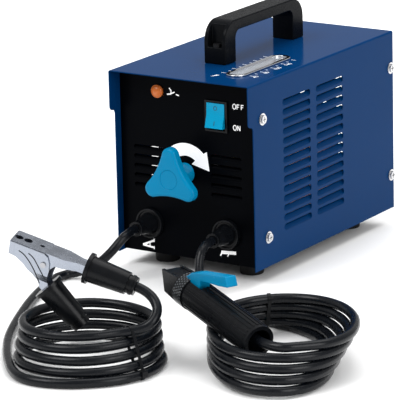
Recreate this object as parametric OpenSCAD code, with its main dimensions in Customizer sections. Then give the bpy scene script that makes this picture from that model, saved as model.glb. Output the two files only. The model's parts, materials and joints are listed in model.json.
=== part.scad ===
// Portable stick-welding transformer with an earth clamp and an electrode holder.
// Millimetres. +Z up, the front panel faces -Y, the feet stand on z = 0.

/* [Case] */
// Width of the cover, side to side
body_w = 162; // [150:1:190]
// Height of the cover without the feet
body_h = 188; // [180:1:215]
// Depth of the cover's sides, without the lip over the front panel
body_d = 274; // [268:1:320]
// How far the top of the cover stands forward of its sides
lip = 9; // [6:0.5:12]
// How deep the front and rear panels sit inside the cover
recess = 9; // [6:0.5:10]
// Sheet thickness of the cover
sheet = 1; // [0.8:0.1:1.5]
// Height of the rubber feet
foot_h = 15; // [12:1:20]
// Radius of a foot where it meets the case
foot_r = 13; // [10:0.5:15]

/* [Louvres] */
// Slots in one column of louvres
louvre_rows = 14; // [8:1:15]
// Distance from one slot to the next
louvre_pitch = 9.75; // [9:0.25:11]
// Length of a slot
louvre_l = 53; // [40:1:55]

/* [Handle] */
// Length of the handle, front to back
handle_l = 150; // [130:1:170]
// Height of the handle above the cover
handle_h = 42.5; // [38:0.5:55]
// Width of the handle
handle_w = 24.5; // [20:0.5:30]

/* [Current control] */
// Radius of the knob at the tip of a lobe
knob_r = 31.8; // [28:0.2:36]
// Travel of the shunt along its spindle
shunt_travel = 72; // [40:1:72]

/* [Leads] */
// Outer diameter of the welding cable
cable_d = 9; // [8:0.5:10]
// Length of the electrode holder
holder_l = 166; // [150:1:190]
// Radius of the holder's grip
grip_r = 15.2; // [14:0.2:17]

/* [Hidden] */
$fn = 48;

// Middle of the whole set on the floor; the layout below counts from the case's front edge.
set_x = 82.5;
set_y = -17.6;

z_case = foot_h;
z_top = foot_h + body_h;
half_w = body_w / 2;
gap = 0.3;
cable_r = cable_d / 2;

// Panels
panel_t = 1.2;
panel_gap = 1.3;
panel_z0 = z_case + 1.4;
panel_z1 = z_top - sheet - 0.5;
panel_half = half_w - sheet - gap;
flange_l = 25;
face_y = recess;
rear_y = body_d - recess - panel_t;
base_t = 1.5;
base_top = panel_z0 + base_t;

// Case screws, as [distance from the panel's edge of the cover, height]
screw_front = [[16, 166], [24, 45]];
screw_rear = [[body_d - 6, 165], [body_d - 6, 51]];
case_screw_r = 2;

// Louvres in the sides
louvre_y = [54.5, 118.5];
louvre_top = z_top - 35.6;
louvre_open = 6.6;
louvre_deep = 3.4;
pan_t = 0.8;
fold_r = 2;

// Feet
foot_x = 50;
foot_y = [42, body_d - 42];
foot_screw_r = 2.5;

// Handle
handle_y = 60;
handle_leg = 20.5;
handle_bar = 11;
handle_round = 20;
handle_inner = 8;
pocket_w = 16;
pocket_d = 9;
pocket_z = 17;
handle_screw_y = [handle_y + 4.8, handle_y + handle_l - 4.8];

// Current scale in the top of the cover
scale_x = 43.5;
scale_y0 = 32.5;
scale_y1 = 111;
scale_half = 11;
scale_inner = 7;

// Front panel features
mid_x = -2;
knob_z = 104.5;
knob_front = 35;
knob_plate = 9.5;
knob_lobe = 8.3;
knob_waist = 17.5;
knob_hub = 10.5;
spindle_r = 5;
thread_r = 6;
run_gap = 0.05;
vent_l = 36;
vent_pitch = 9.7;
vent_rows = 5;
vent_z = 126;
vent_open = 4.4;
vent_deep = 3;
vent_in = 27;
switch_x = 33.7;
switch_z = 165.3;
bezel_w = 25.5;
bezel_h = 31;
rocker_tilt = 10;
lamp_x = -35;
lamp_z = 183;
lamp_r = 6.5;
outlet_x = [mid_x - 45, mid_x + 45];
outlet_z = 47;
gland_r = 15;
gland_l = 28;

// Transformer
core_x = mid_x;
core_w = 120;
core_z = 20;
core_h = 130;
core_y = 95;
core_l = 70;
limb = 28;
coil_out = 13.5;
coil_z0 = core_z + limb + 1;
coil_h = core_h - 2 * limb - 2;
shunt_w = 26;
shunt_l = 68;
bolt_r = 3;
bolt_x = 46;
nut_y = 86;

// Fan
fan_z = 110;
fan_r = 50;
bracket_y = 204.5;

// Mains cord inlet on the rear panel
inlet_x = 52;
inlet_z = 42;
inlet_r = 4.5;
stud_z = 33;
stud_r = 4;

// Coils lie turned towards the front right corner of the case
coil_turn = -57;
earth_coil_x = 65.5;
earth_coil_y = -264;
earth_coil_r = 60;
earth_layers = 5;
earth_lean = 4.5;
earth_widen = 1.5;
electrode_coil_x = 228.5;
electrode_coil_y = -190;
electrode_coil_r = 66;
electrode_layers = 4;
electrode_straight = 14;
electrode_lean = 3;
electrode_lengthen = 8;
coil_overlap = 0.2;

// Earth clamp: place, turn and its arms in its own frame, x along the upper arm
clamp_at = [27, -290, 107.5];
clamp_turn = [6, 19, 18.5];
clamp_w = 27;
clamp_t = 1.5;
clamp_pin = [14, -7];
tongue_w = 7;
pin_r = 2;
sleeve_l = 48;
sleeve_x = 51;
lower_sleeve = [20.5, -32];
lower_angle = -31;

// Electrode holder: place and turn, x runs from the jaws to the cable end
holder_at = [93.9, -185.6, 69.4];
holder_turn = [0, 10, -25];
head_start = 17;
head_l = 45;
head_w = 22;
head_slot = 8;
lever_pin = [50, 7];
bore_r = 11.5;

// Cable routes, hand laid. Each runs away from the case.
earth_lead = [
    [-47, -9, 47], [-47, -19, 47], [-47, -31, 46], [-49, -42, 41], [-54, -50, 32],
    [-63, -55, 22], [-76, -57, 13], [-90, -59, 7], [-100, -65, 4.8], [-102, -79, 4.6],
    [-97, -101, 4.6], [-88, -131, 4.6], [-76, -163, 4.6], [-62, -195, 4.6], [-45, -231, 4.6],
    [-27, -264, 4.6], [-6, -295, 4.6], [14, -320, 4.6], [31, -338, 4.6], [49, -351, 4.6],
    [68, -355, 4.6], [88, -350, 4.6], [106, -339, 4.6], [118, -329, 4.6]
];
electrode_lead = [
    [43, -9, 47], [43, -19, 47], [43, -31, 46], [44, -41, 40], [46, -48, 29],
    [51, -54, 17], [60, -60, 8], [73, -67, 4.7], [89, -76, 4.6], [106, -86, 4.6],
    [125, -95, 4.6], [146, -101, 4.6], [168, -103, 4.6], [189, -103, 4.6], [204, -104, 4.6]
];
earth_tail = [
    [109, -262.5, 77.7], [117, -259.8, 74.8], [126, -258, 70.5], [134.5, -259, 64.5],
    [140.5, -264, 57], [141, -272.5, 49.5], [134, -280, 44], [125, -284, 41.5]
];
electrode_tail = [
    [194, -232.3, 50], [215.3, -242.2, 45.8], [230, -249, 43.4], [243, -255, 41.5], [255, -259.5, 40.9],
    [266, -260, 40.9], [276, -256, 40.9]
];

// Helpers ---------------------------------------------------------------

module in_set() {
    translate([-set_x, -set_y, 0]) children();
}

function arc(cx, cy, r, a0, a1, n = 8) =
    [for (i = [0:n]) let (a = a0 + (a1 - a0) * i / n) [cx + r * cos(a), cy + r * sin(a)]];

// Box from its low corner to its high corner.
module box(lo, hi) {
    translate(lo) cube(hi - lo);
}

// Cylinder along Y from y0 to y1.
module rod_y(x, z, r, y0, y1) {
    translate([x, y0, z]) rotate([-90, 0, 0]) cylinder(r = r, h = y1 - y0);
}

// Cylinder along X from x0 to x1.
module rod_x(y, z, r, x0, x1) {
    translate([x0, y, z]) rotate([0, 90, 0]) cylinder(r = r, h = x1 - x0);
}

// Hexagon bar along Y.
module hex_y(x, z, r, y0, y1) {
    translate([x, y0, z]) rotate([-90, 0, 0]) cylinder(r = r, h = y1 - y0, $fn = 6);
}

// A shape drawn as [y, z] points, extruded along X from x0 to x1.
module slab_x(x0, x1) {
    translate([x0, 0, 0]) rotate([90, 0, 90]) linear_extrude(x1 - x0) children();
}

// A shape drawn as [x, z] points, extruded along Y from y0 to y1.
module slab_y(y0, y1) {
    translate([0, y1, 0]) rotate([90, 0, 0]) linear_extrude(y1 - y0) children();
}

// Slot with round ends, along Y.
module slot_y(x, y0, y1, half) {
    translate([x, y0]) circle(r = half);
    translate([x, y1]) circle(r = half);
    translate([x - half, y0]) square([2 * half, y1 - y0]);
}

function unit(v) = v / norm(v);
function heading(p, i) =
    i == 0 ? unit(p[1] - p[0]) :
    i == len(p) - 1 ? unit(p[i] - p[i - 1]) :
    unit(unit(p[i + 1] - p[i]) + unit(p[i] - p[i - 1]));

// One ring of the tube, square to the route.
function ring(p, i, r, sides) =
    let (
        t = heading(p, i),
        u = unit(cross(t, abs(t[2]) > 0.9 ? [1, 0, 0] : [0, 0, 1])),
        v = cross(t, u)
    )
    [for (k = [0:sides - 1]) let (a = 360 * k / sides) p[i] + r * (u * cos(a) + v * sin(a))];

// Closed tube along a route.
module tube(p, r, sides = 10) {
    n = len(p);
    points = [for (i = [0:n - 1]) each ring(p, i, r, sides)];
    walls = [
        for (i = [0:n - 2]) for (k = [0:sides - 1])
            let (a = i * sides + k, b = i * sides + (k + 1) % sides)
            each [[a, b + sides, b], [a, a + sides, b + sides]]
    ];
    start = [for (k = [0:sides - 1]) k];
    end = [for (k = [0:sides - 1]) n * sides - 1 - k];
    polyhedron(points = points, faces = concat([start], walls, [end]));
}

// Case --------------------------------------------------------------------

// Side outline of the cover: the front edge steps forward in a soft S below the lip.
module cover_side() {
    bend = lip / 2;
    step_z = z_case + 142;
    polygon(concat(
        [[0, z_case], [0, step_z]],
        arc(-bend, step_z, bend, 0, 90),
        arc(-bend, step_z + 2 * bend, bend, 270, 180),
        [[-lip, z_top + 1], [body_d, z_top + 1], [body_d, z_case]]
    ));
}

// A field of pressed louvres lies in the plane x = 0, outside towards +X, rows stacked up Z.
// Openings: slots with round ends.
module louvre_holes(length, rows, pitch, open) {
    end_r = open / 2;
    rotate([90, 0, 90]) translate([0, 0, -3]) linear_extrude(4)
        for (i = [0:rows - 1]) {
            translate([end_r, i * pitch + end_r]) circle(r = end_r);
            translate([length - end_r, i * pitch + end_r]) circle(r = end_r);
            translate([end_r, i * pitch]) square([length - open, open]);
        }
}

// Pans behind the openings: hinged at the lower edge, pressed in and open at the top.
module louvre_pans(length, rows, pitch, open, deep) {
    inner = -sheet / 2;
    rise = 0.62 * open;
    back = -deep - pan_t;
    difference() {
        translate([0, length + pan_t, 0]) rotate([90, 0, 0]) linear_extrude(length + 2 * pan_t)
            for (i = [0:rows - 1]) translate([0, i * pitch])
                polygon([[inner, -1], [back, rise - 0.2], [back, rise + 0.4], [inner, rise + 0.4]]);
        translate([0, length, 0]) rotate([90, 0, 0]) linear_extrude(length)
            for (i = [0:rows - 1]) translate([0, i * pitch])
                polygon([[0, 0], [-deep, rise], [back - 1, rise], [back - 1, open], [0, open]]);
    }
}

module side_louvre_places() {
    for (y = louvre_y) {
        translate([half_w, y, louvre_top + louvre_open / 2 - (louvre_rows - 1) * louvre_pitch])
            children();
    }
}

// Section of the cover across the case, with its two long folds rounded.
module cover_section() {
    translate([-half_w, z_case - 1]) square([2 * half_w, z_top - fold_r - z_case + 1]);
    translate([-half_w + fold_r, z_case]) square([2 * (half_w - fold_r), z_top - z_case]);
    for (x = [-half_w + fold_r, half_w - fold_r]) {
        translate([x, z_top - fold_r]) circle(r = fold_r);
    }
}

module cover() {
    color([0.09, 0.2, 0.4])
    difference() {
        union() {
            difference() {
                intersection() {
                    slab_x(-half_w - 1, half_w + 1) cover_side();
                    slab_y(-lip - 1, body_d + 1) cover_section();
                }
                box([-half_w + sheet, -lip - 1, z_case - 1],
                    [half_w - sheet, body_d + 1, z_top - sheet]);
                for (side = [0, 1]) {
                    mirror([side, 0, 0]) side_louvre_places()
                        louvre_holes(louvre_l, louvre_rows, louvre_pitch, louvre_open);
                }
            }
            for (side = [0, 1]) {
                mirror([side, 0, 0]) side_louvre_places()
                    louvre_pans(louvre_l, louvre_rows, louvre_pitch, louvre_open, louvre_deep);
            }
        }
        for (p = concat(screw_front, screw_rear)) {
            rod_x(p[0], p[1], case_screw_r + 0.3, -half_w - 1, half_w + 1);
        }
        for (y = handle_screw_y) {
            translate([0, y, z_top - 2]) cylinder(r = 2.8, h = 4);
        }
        translate([0, 0, z_top - 2]) linear_extrude(4)
            slot_y(scale_x, scale_y0, scale_y1, scale_inner + 1.3);
    }
}

module panel_flanges(y0, y1, holes) {
    difference() {
        for (side = [-1, 1]) {
            box([side > 0 ? panel_half - panel_t : -panel_half, y0, panel_z0 + 14],
                [side > 0 ? panel_half : -panel_half + panel_t, y1, panel_z1 - 12]);
        }
        for (p = holes) {
            rod_x(p[0], p[1], case_screw_r + 0.05, -half_w, half_w);
        }
    }
}

// Vents of the front panel, one field each side of the knob.
module vent_places() {
    for (x = [mid_x - vent_in - vent_l, mid_x + vent_in]) {
        translate([x, face_y, vent_z - (vent_rows - 1) * vent_pitch - vent_open])
            rotate([0, 0, -90]) children();
    }
}

module front_panel() {
    color([0.03, 0.035, 0.04])
    union() {
        difference() {
            box([-panel_half, face_y, panel_z0], [panel_half, face_y + panel_t, panel_z1]);
            rod_y(mid_x, knob_z, 7.5, face_y - 1, face_y + 3);
            rod_y(lamp_x, lamp_z, 5.5, face_y - 1, face_y + 3);
            for (x = outlet_x) {
                rod_y(x, outlet_z, 11.1, face_y - 1, face_y + 3);
            }
            box([switch_x - 11.7, face_y - 1, switch_z - 14.9],
                [switch_x + 11.7, face_y + 3, switch_z + 14.9]);
            vent_places() louvre_holes(vent_l, vent_rows, vent_pitch, vent_open);
        }
        vent_places() louvre_pans(vent_l, vent_rows, vent_pitch, vent_open, vent_deep);
        panel_flanges(face_y + panel_t - 0.01, face_y + flange_l, screw_front);
    }
}

// Air slots in front of the fan.
module fan_slots() {
    for (i = [-4:4]) {
        l = sqrt(pow(fan_r, 2) - pow(i * 10, 2));
        translate([mid_x, 0, fan_z + i * 10])
            box([-l, rear_y - 1, -2.2], [l, rear_y + panel_t + 1, 2.2]);
    }
}

module rear_panel() {
    color([0.03, 0.035, 0.04])
    union() {
        difference() {
            box([-panel_half, rear_y, panel_z0], [panel_half, rear_y + panel_t, panel_z1]);
            fan_slots();
            rod_y(inlet_x, inlet_z, 8.1, rear_y - 1, rear_y + 3);
        }
        panel_flanges(rear_y + 0.01, body_d - 0.6, screw_rear);
        box([mid_x - 1.5, rear_y, fan_z - fan_r], [mid_x + 1.5, rear_y + panel_t, fan_z + fan_r]);
    }
}

module base_plate() {
    y0 = face_y + panel_t;
    y1 = rear_y;
    color([0.03, 0.035, 0.04])
    difference() {
        union() {
            box([-panel_half, y0, panel_z0], [panel_half, y1, base_top]);
            box([-panel_half + 8, y0, panel_z0], [panel_half - 8, y0 + panel_t, base_top + 8]);
            box([-panel_half + 8, y1 - panel_t, panel_z0], [panel_half - 8, y1, base_top + 8]);
        }
        for (x = [-foot_x, foot_x]) for (y = foot_y) {
            translate([x, y, 0]) cylinder(r = foot_screw_r + 0.2, h = 30);
        }
    }
}

module feet() {
    color([0.02, 0.02, 0.02])
    for (x = [-foot_x, foot_x]) for (y = foot_y) {
        translate([x, y, 0]) difference() {
            cylinder(r1 = foot_r - 1, r2 = foot_r, h = panel_z0 - 0.05);
            translate([0, 0, -1]) cylinder(r = 6, h = 9);
            cylinder(r = foot_screw_r + 0.2, h = 30);
        }
    }
}

// Screws of the feet and of the handle.
module machine_screws() {
    color([0.7, 0.7, 0.72]) {
        for (x = [-foot_x, foot_x]) for (y = foot_y) {
            translate([x, y, 4.6]) cylinder(r = 4.6, h = 3.4);
            translate([x, y, 6]) cylinder(r = foot_screw_r, h = 18);
        }
        for (y = handle_screw_y) {
            translate([0, y, z_top + pocket_z]) cylinder(r = 4, h = 3);
            translate([0, y, z_top - 10]) cylinder(r = foot_screw_r, h = pocket_z + 11);
        }
    }
}

// One flanged screw in the right side of the cover.
module cover_screw(p) {
    difference() {
        union() {
            rod_x(p[0], p[1], 6, half_w + 0.02, half_w + 1);
            rod_x(p[0], p[1], 4.2, half_w + 0.5, half_w + 3);
            rod_x(p[0], p[1], case_screw_r, half_w - 8, half_w + 1);
        }
        box([half_w + 1.6, p[0] - 2.6, p[1] - 0.5], [half_w + 4, p[0] + 2.6, p[1] + 0.5]);
        box([half_w + 1.6, p[0] - 0.5, p[1] - 2.6], [half_w + 4, p[0] + 0.5, p[1] + 2.6]);
    }
}

module cover_screws() {
    color([0.75, 0.75, 0.77])
    for (p = concat(screw_front, screw_rear)) {
        cover_screw(p);
        mirror([1, 0, 0]) cover_screw(p);
    }
}

// Carrying handle ---------------------------------------------------------

module handle() {
    top = z_top + handle_h;
    y1 = handle_y + handle_l;
    under = top - handle_bar;
    color([0.03, 0.03, 0.035])
    difference() {
        slab_x(-handle_w / 2, handle_w / 2) difference() {
            polygon(concat(
                [[handle_y, z_top]],
                arc(handle_y + handle_round, top - handle_round, handle_round, 180, 90, 12),
                arc(y1 - handle_round, top - handle_round, handle_round, 90, 0, 12),
                [[y1, z_top]]
            ));
            polygon(concat(
                [[handle_y + handle_leg, z_top - 1]],
                arc(handle_y + handle_leg + handle_inner, under - handle_inner,
                    handle_inner, 180, 90),
                arc(y1 - handle_leg - handle_inner, under - handle_inner, handle_inner, 90, 0),
                [[y1 - handle_leg, z_top - 1]]
            ));
        }
        for (y = [handle_y - 1, y1 - pocket_d]) {
            box([-pocket_w / 2, y, z_top + pocket_z],
                [pocket_w / 2, y + pocket_d + 1, top - 2.5]);
        }
        for (y = handle_screw_y) {
            translate([0, y, z_top - 1]) cylinder(r = 2.7, h = pocket_z + 2);
        }
    }
}

// Nut along Z on a screw of the feet or the handle.
module nut_z(x, y, z) {
    translate([x, y, z]) difference() {
        cylinder(r = 4.6, h = 4, $fn = 6);
        translate([0, 0, -1]) cylinder(r = foot_screw_r + 0.02, h = 6);
    }
}

// Nut along Y behind a panel.
module nut_along_y(x, z, r, bore, y0, y1) {
    difference() {
        hex_y(x, z, r, y0, y1);
        rod_y(x, z, bore, y0 - 1, y1 + 1);
    }
}

// Nuts of the feet, the handle and the cable glands.
module lock_nuts() {
    color([0.5, 0.5, 0.52]) {
        for (x = [-foot_x, foot_x]) for (y = foot_y) {
            nut_z(x, y, base_top);
        }
        for (y = handle_screw_y) {
            nut_z(0, y, z_top - sheet - 4);
        }
        for (x = outlet_x) {
            nut_along_y(x, outlet_z, 16, 11.05, face_y + panel_t, face_y + 8);
        }
        nut_along_y(inlet_x, inlet_z, 12, 8.05, rear_y - 6, rear_y);
    }
}

// Current scale -------------------------------------------------------------

module scale_bezel() {
    color([0.85, 0.86, 0.88])
    difference() {
        union() {
            translate([0, 0, z_top]) linear_extrude(1.6)
                slot_y(scale_x, scale_y0, scale_y1, scale_half);
            translate([0, 0, z_top - 3]) linear_extrude(3.2)
                slot_y(scale_x, scale_y0, scale_y1, scale_inner + 1.2);
        }
        translate([0, 0, z_top - 4]) linear_extrude(7)
            slot_y(scale_x, scale_y0, scale_y1, scale_inner);
    }
}

module scale_lens() {
    color([0.8, 0.85, 0.9, 0.4])
    translate([0, 0, z_top - 1.4]) linear_extrude(1.4)
        slot_y(scale_x, scale_y0, scale_y1, scale_inner - 0.05);
}

// Knob, spindle and the moving shunt ---------------------------------------

// Three round lobes, one straight up, joined by slightly hollow sides.
module knob_outline() {
    lobe_at = knob_r - knob_lobe;
    near = lobe_at / 2;
    half = lobe_at * sin(60);
    fill = knob_waist - near;
    hollow = (half * half + fill * fill - knob_lobe * knob_lobe) / (2 * (knob_lobe - fill));
    side_at = knob_waist + hollow;
    turn = atan2(side_at * sin(60), side_at * cos(60) - lobe_at);
    polygon([
        for (a = [90, 210, 330]) each concat(
            arc(lobe_at * cos(a), lobe_at * sin(a), knob_lobe, a - turn, a + turn, 14),
            arc(side_at * cos(a + 60), side_at * sin(a + 60), hollow, a + 180 + turn, a + 300 - turn)
        )
    ]);
}

module knob() {
    front = face_y - knob_front;
    color([0.0, 0.5, 0.68])
    translate([mid_x, 0, knob_z]) difference() {
        union() {
            translate([0, front + knob_plate, 0]) rotate([90, 0, 0])
                linear_extrude(knob_plate) knob_outline();
            translate([0, front + knob_plate - 1, 0]) rotate([-90, 0, 0])
                cylinder(r = knob_hub, h = knob_front - knob_plate - 3);
        }
        rod_y(0, 0, spindle_r, front + 6, face_y + 1);
        rod_y(0, 0, 9.6, front - 1, front + 1.5);
    }
}

module knob_cap() {
    front = face_y - knob_front;
    color([0.0, 0.45, 0.62])
    rod_y(mid_x, knob_z, 9.5, front + 0.4, front + 1.5);
}

module spindle() {
    color([0.62, 0.62, 0.64])
    union() {
        rod_y(mid_x, knob_z, spindle_r, face_y - knob_front + 6, bracket_y + 2);
        rod_y(mid_x, knob_z, thread_r, face_y + 4.5, core_y + core_l + 12);
    }
}

module spindle_bush() {
    color([0.75, 0.62, 0.3])
    difference() {
        union() {
            rod_y(mid_x, knob_z, 7.4, face_y - 1, face_y + 3.5);
            rod_y(mid_x, knob_z, 11, face_y + panel_t, face_y + 3.5);
        }
        rod_y(mid_x, knob_z, spindle_r + run_gap, face_y - 2, face_y + 5);
    }
}

// Plate behind the core that carries the spindle's far end and the fan motor.
module rear_bracket() {
    color([0.6, 0.6, 0.62])
    difference() {
        union() {
            box([mid_x - 16, bracket_y, base_top], [mid_x + 16, bracket_y + 2.2, fan_z + 24]);
            box([mid_x - 16, bracket_y, base_top], [mid_x + 16, bracket_y + 16, base_top + 2]);
        }
        rod_y(mid_x, knob_z, spindle_r + run_gap, bracket_y - 1, bracket_y + 4);
    }
}

module shunt_core() {
    y0 = core_y + 1;
    color([0.35, 0.35, 0.37])
    difference() {
        box([core_x - shunt_w / 2, y0, core_z + limb + 2],
            [core_x + shunt_w / 2, y0 + shunt_l, core_z + core_h - limb - 2]);
        rod_y(mid_x, knob_z, thread_r + 1, y0 - 1, y0 + shunt_l + 1);
    }
}

module shunt_nut() {
    color([0.8, 0.65, 0.3])
    difference() {
        box([mid_x - 10, nut_y, knob_z - 10], [mid_x + 10, core_y + 1, knob_z + 10]);
        rod_y(mid_x, knob_z, thread_r + run_gap, nut_y - 1, core_y + 2);
    }
}

// Arm from the nut up to the pointer that shows under the scale window.
module scale_pointer() {
    top = z_top - 18;
    color([0.85, 0.1, 0.08])
    union() {
        box([mid_x - 8, nut_y, knob_z + 10], [mid_x + 8, nut_y + 2, top + 2]);
        box([mid_x - 8, nut_y, top], [scale_x + 3, nut_y + 10, top + 2]);
        box([scale_x - 3, nut_y, top], [scale_x + 3, scale_y1 - 3, top + 2]);
        box([scale_x - 5, scale_y1 - 7, top], [scale_x + 5, scale_y1 - 5, z_top - 2.5]);
    }
}

// Transformer ---------------------------------------------------------------

module shunt_guides() {
    color([0.55, 0.4, 0.22])
    for (side = [-1, 1]) {
        box([core_x + (side > 0 ? shunt_w / 2 + 0.4 : -shunt_w / 2 - 3.4), core_y, core_z + limb + 12],
            [core_x + (side > 0 ? shunt_w / 2 + 3.4 : -shunt_w / 2 - 0.4), core_y + core_l,
             core_z + core_h - limb - 12]);
    }
}

module transformer_core() {
    color([0.4, 0.4, 0.42])
    difference() {
        box([core_x - core_w / 2, core_y, core_z],
            [core_x + core_w / 2, core_y + core_l, core_z + core_h]);
        box([core_x - core_w / 2 + limb, core_y - 1, core_z + limb],
            [core_x + core_w / 2 - limb, core_y + core_l + 1, core_z + core_h - limb]);
        for (x = [-bolt_x, bolt_x]) for (z = [core_z + 14, core_z + core_h - 14]) {
            rod_y(core_x + x, z, bolt_r + 0.2, core_y - 1, core_y + core_l + 1);
        }
    }
}

module core_brackets() {
    color([0.6, 0.6, 0.62])
    difference() {
        union() {
            box([core_x - 60, core_y - 3.5, base_top], [core_x + 60, core_y - 0.5, core_z + 26]);
            box([core_x - 60, core_y - 20, base_top], [core_x + 60, core_y - 0.5, base_top + 3]);
            box([core_x - 60, core_y + core_l + 0.5, base_top],
                [core_x + 60, core_y + core_l + 3.5, core_z + 26]);
            box([core_x - 60, core_y + core_l + 0.5, base_top],
                [core_x + 60, core_y + core_l + 13, base_top + 3]);
        }
        for (x = [-bolt_x, bolt_x]) {
            rod_y(core_x + x, core_z + 14, bolt_r + 0.2, core_y - 10, core_y + core_l + 10);
        }
    }
}

module core_bolts() {
    color([0.7, 0.7, 0.72])
    for (x = [-bolt_x, bolt_x]) for (z = [core_z + 14, core_z + core_h - 14]) {
        seat = z < core_z + limb ? 3.5 : 0;
        rod_y(core_x + x, z, bolt_r, core_y - seat - 4, core_y + core_l + seat + 8);
        hex_y(core_x + x, z, 5.6, core_y - seat - 4, core_y - seat);
        hex_y(core_x + x, z, 5.6, core_y + core_l + seat, core_y + core_l + seat + 5);
    }
}

// Rectangular tube around one limb of the core, from offset a to offset b.
module around_limb(side, a, b, z0, z1) {
    x = core_x + side * (core_w - limb) / 2;
    difference() {
        box([x - limb / 2 - b, core_y - b, z0], [x + limb / 2 + b, core_y + core_l + b, z1]);
        box([x - limb / 2 - a, core_y - a, z0 - 1], [x + limb / 2 + a, core_y + core_l + a, z1 + 1]);
    }
}

module coil_formers() {
    color([0.85, 0.83, 0.76])
    for (side = [-1, 1]) {
        around_limb(side, 0.3, 1.5, coil_z0, coil_z0 + coil_h);
        around_limb(side, 0.3, coil_out, coil_z0, coil_z0 + 1.5);
        around_limb(side, 0.3, coil_out, coil_z0 + coil_h - 1.5, coil_z0 + coil_h);
    }
}

module primary_winding() {
    color([0.65, 0.3, 0.12])
    around_limb(-1, 1.6, coil_out - 0.5, coil_z0 + 1.6, coil_z0 + coil_h - 1.6);
}

module secondary_winding() {
    color([0.7, 0.55, 0.4])
    around_limb(1, 1.6, coil_out - 0.5, coil_z0 + 1.6, coil_z0 + coil_h - 1.6);
}

module thermal_cutout() {
    y = core_y + core_l + coil_out - 0.5;
    color([0.1, 0.1, 0.1])
    union() {
        rod_y(core_x + 46, 96, 8, y, y + 6);
        box([core_x + 41, y + 5, 94], [core_x + 42, y + 14, 99]);
        box([core_x + 50, y + 5, 94], [core_x + 51, y + 14, 99]);
    }
}

module output_board() {
    color([0.5, 0.33, 0.2])
    difference() {
        box([outlet_x[0] - 14, 62, base_top], [outlet_x[1] + 14, 67, 47]);
        for (x = outlet_x) {
            rod_y(x, stud_z, stud_r + 0.1, 61, 68);
        }
    }
}

// Cable lugs with the bared cable ends crimped in: barrel, and a palm bolted to the board.
module output_lugs() {
    color([0.8, 0.5, 0.3])
    for (x = outlet_x) {
        difference() {
            union() {
                rod_y(x, outlet_z, 6, 34, 58);
                rod_y(x, outlet_z, cable_r, -8.8, 35);
                box([x - 7, 57, 24], [x + 7, 61.9, 53]);
            }
            rod_y(x, stud_z, stud_r + 0.1, 56, 63);
        }
    }
}

module output_studs() {
    color([0.75, 0.65, 0.4])
    for (x = outlet_x) {
        rod_y(x, stud_z, stud_r, 50, 76);
        hex_y(x, stud_z, 7, 51, 57);
        hex_y(x, stud_z, 7, 67, 73);
    }
}

// Fan -------------------------------------------------------------------------

module fan_motor() {
    color([0.5, 0.5, 0.52])
    union() {
        rod_y(mid_x, fan_z, 26, 207, 228);
        box([mid_x - 29, 209, fan_z - 20], [mid_x + 29, 225, fan_z + 20]);
        rod_y(mid_x, fan_z, 2, 228, 248);
    }
}

module fan_blades() {
    color([0.12, 0.12, 0.13])
    translate([mid_x, 0, fan_z]) difference() {
        union() {
            rod_y(0, 0, 13, 234, 248);
            for (i = [0:4]) {
                rotate([0, 72 * i, 0]) translate([12, 241, 0]) rotate([28, 0, 0])
                    box([0, -0.8, -11], [fan_r - 14, 0.8, 11]);
            }
        }
        rod_y(0, 0, 2.05, 233, 249);
    }
}

module mains_terminal_block() {
    color([0.85, 0.85, 0.8])
    difference() {
        box([-36, 238, base_top], [0, 258, base_top + 18]);
        for (i = [0:2]) for (y = [243, 253]) {
            translate([-30 + 12 * i, y, base_top + 8]) cylinder(r = 2.5, h = 12);
        }
    }
}

// Switch and lamp -----------------------------------------------------------

module switch_frame() {
    color([0.04, 0.04, 0.045])
    translate([switch_x, face_y, switch_z]) difference() {
        union() {
            box([-bezel_w / 2, -2.2, -bezel_h / 2], [bezel_w / 2, 0, bezel_h / 2]);
            box([-11.6, -1, -14.8], [11.6, 22, 14.8]);
            for (z = [-10, 0, 10]) {
                box([-3.2, 21, z - 0.4], [3.2, 30, z + 0.4]);
            }
        }
        box([-10.4, -4, -13.9], [10.4, 12, 13.9]);
        rod_x(1.5, 0, 1.55, -11.2, 11.2);
    }
}

// Rocker resting at off: its upper end pressed in.
module switch_rocker() {
    color([0.0, 0.6, 0.8])
    translate([switch_x, face_y + 1.5, switch_z]) rotate([-rocker_tilt, 0, 0]) union() {
        slab_x(-10.1, 10.1) polygon([
            [-6.4, -12.4], [-4.9, 0], [-6.4, 12.4], [1, 12], [5, 5], [5, -5], [1, -12]
        ]);
        rod_x(0, 0, 1.5, -11, 11);
    }
}

module lamp_lens() {
    color([0.95, 0.5, 0.1])
    translate([lamp_x, face_y, lamp_z]) rotate([90, 0, 0]) union() {
        cylinder(r = lamp_r, h = 2);
        intersection() {
            translate([0, 0, -3]) sphere(r = 8);
            cylinder(r = lamp_r - 0.6, h = 8);
        }
    }
}

module lamp_body() {
    color([0.9, 0.9, 0.88])
    union() {
        rod_y(lamp_x, lamp_z, 5.4, face_y + 0.02, face_y + 16);
        rod_y(lamp_x, lamp_z, 7.5, face_y + panel_t, face_y + 4);
        box([lamp_x - 3, face_y + 15, lamp_z - 0.4], [lamp_x - 1, face_y + 24, lamp_z + 0.4]);
        box([lamp_x + 1, face_y + 15, lamp_z - 0.4], [lamp_x + 3, face_y + 24, lamp_z + 0.4]);
    }
}

// Cable glands --------------------------------------------------------------

// Cone-shaped gland on the front panel: flange, raised rim, cone and end collar.
module gland(x) {
    translate([x, face_y, outlet_z]) rotate([90, 0, 0]) difference() {
        union() {
            cylinder(r = gland_r, h = 3);
            translate([0, 0, 3]) difference() {
                cylinder(r = gland_r, h = 2);
                translate([0, 0, -1]) cylinder(r = gland_r - 2, h = 4);
            }
            translate([0, 0, 2]) cylinder(r1 = 11, r2 = 6.8, h = gland_l - 5);
            translate([0, 0, gland_l - 4]) cylinder(r = 7.4, h = 4);
            translate([0, 0, -12]) cylinder(r = 11, h = 13);
        }
        translate([0, 0, -13]) cylinder(r = cable_r + 0.1, h = gland_l + 14);
    }
}

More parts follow.
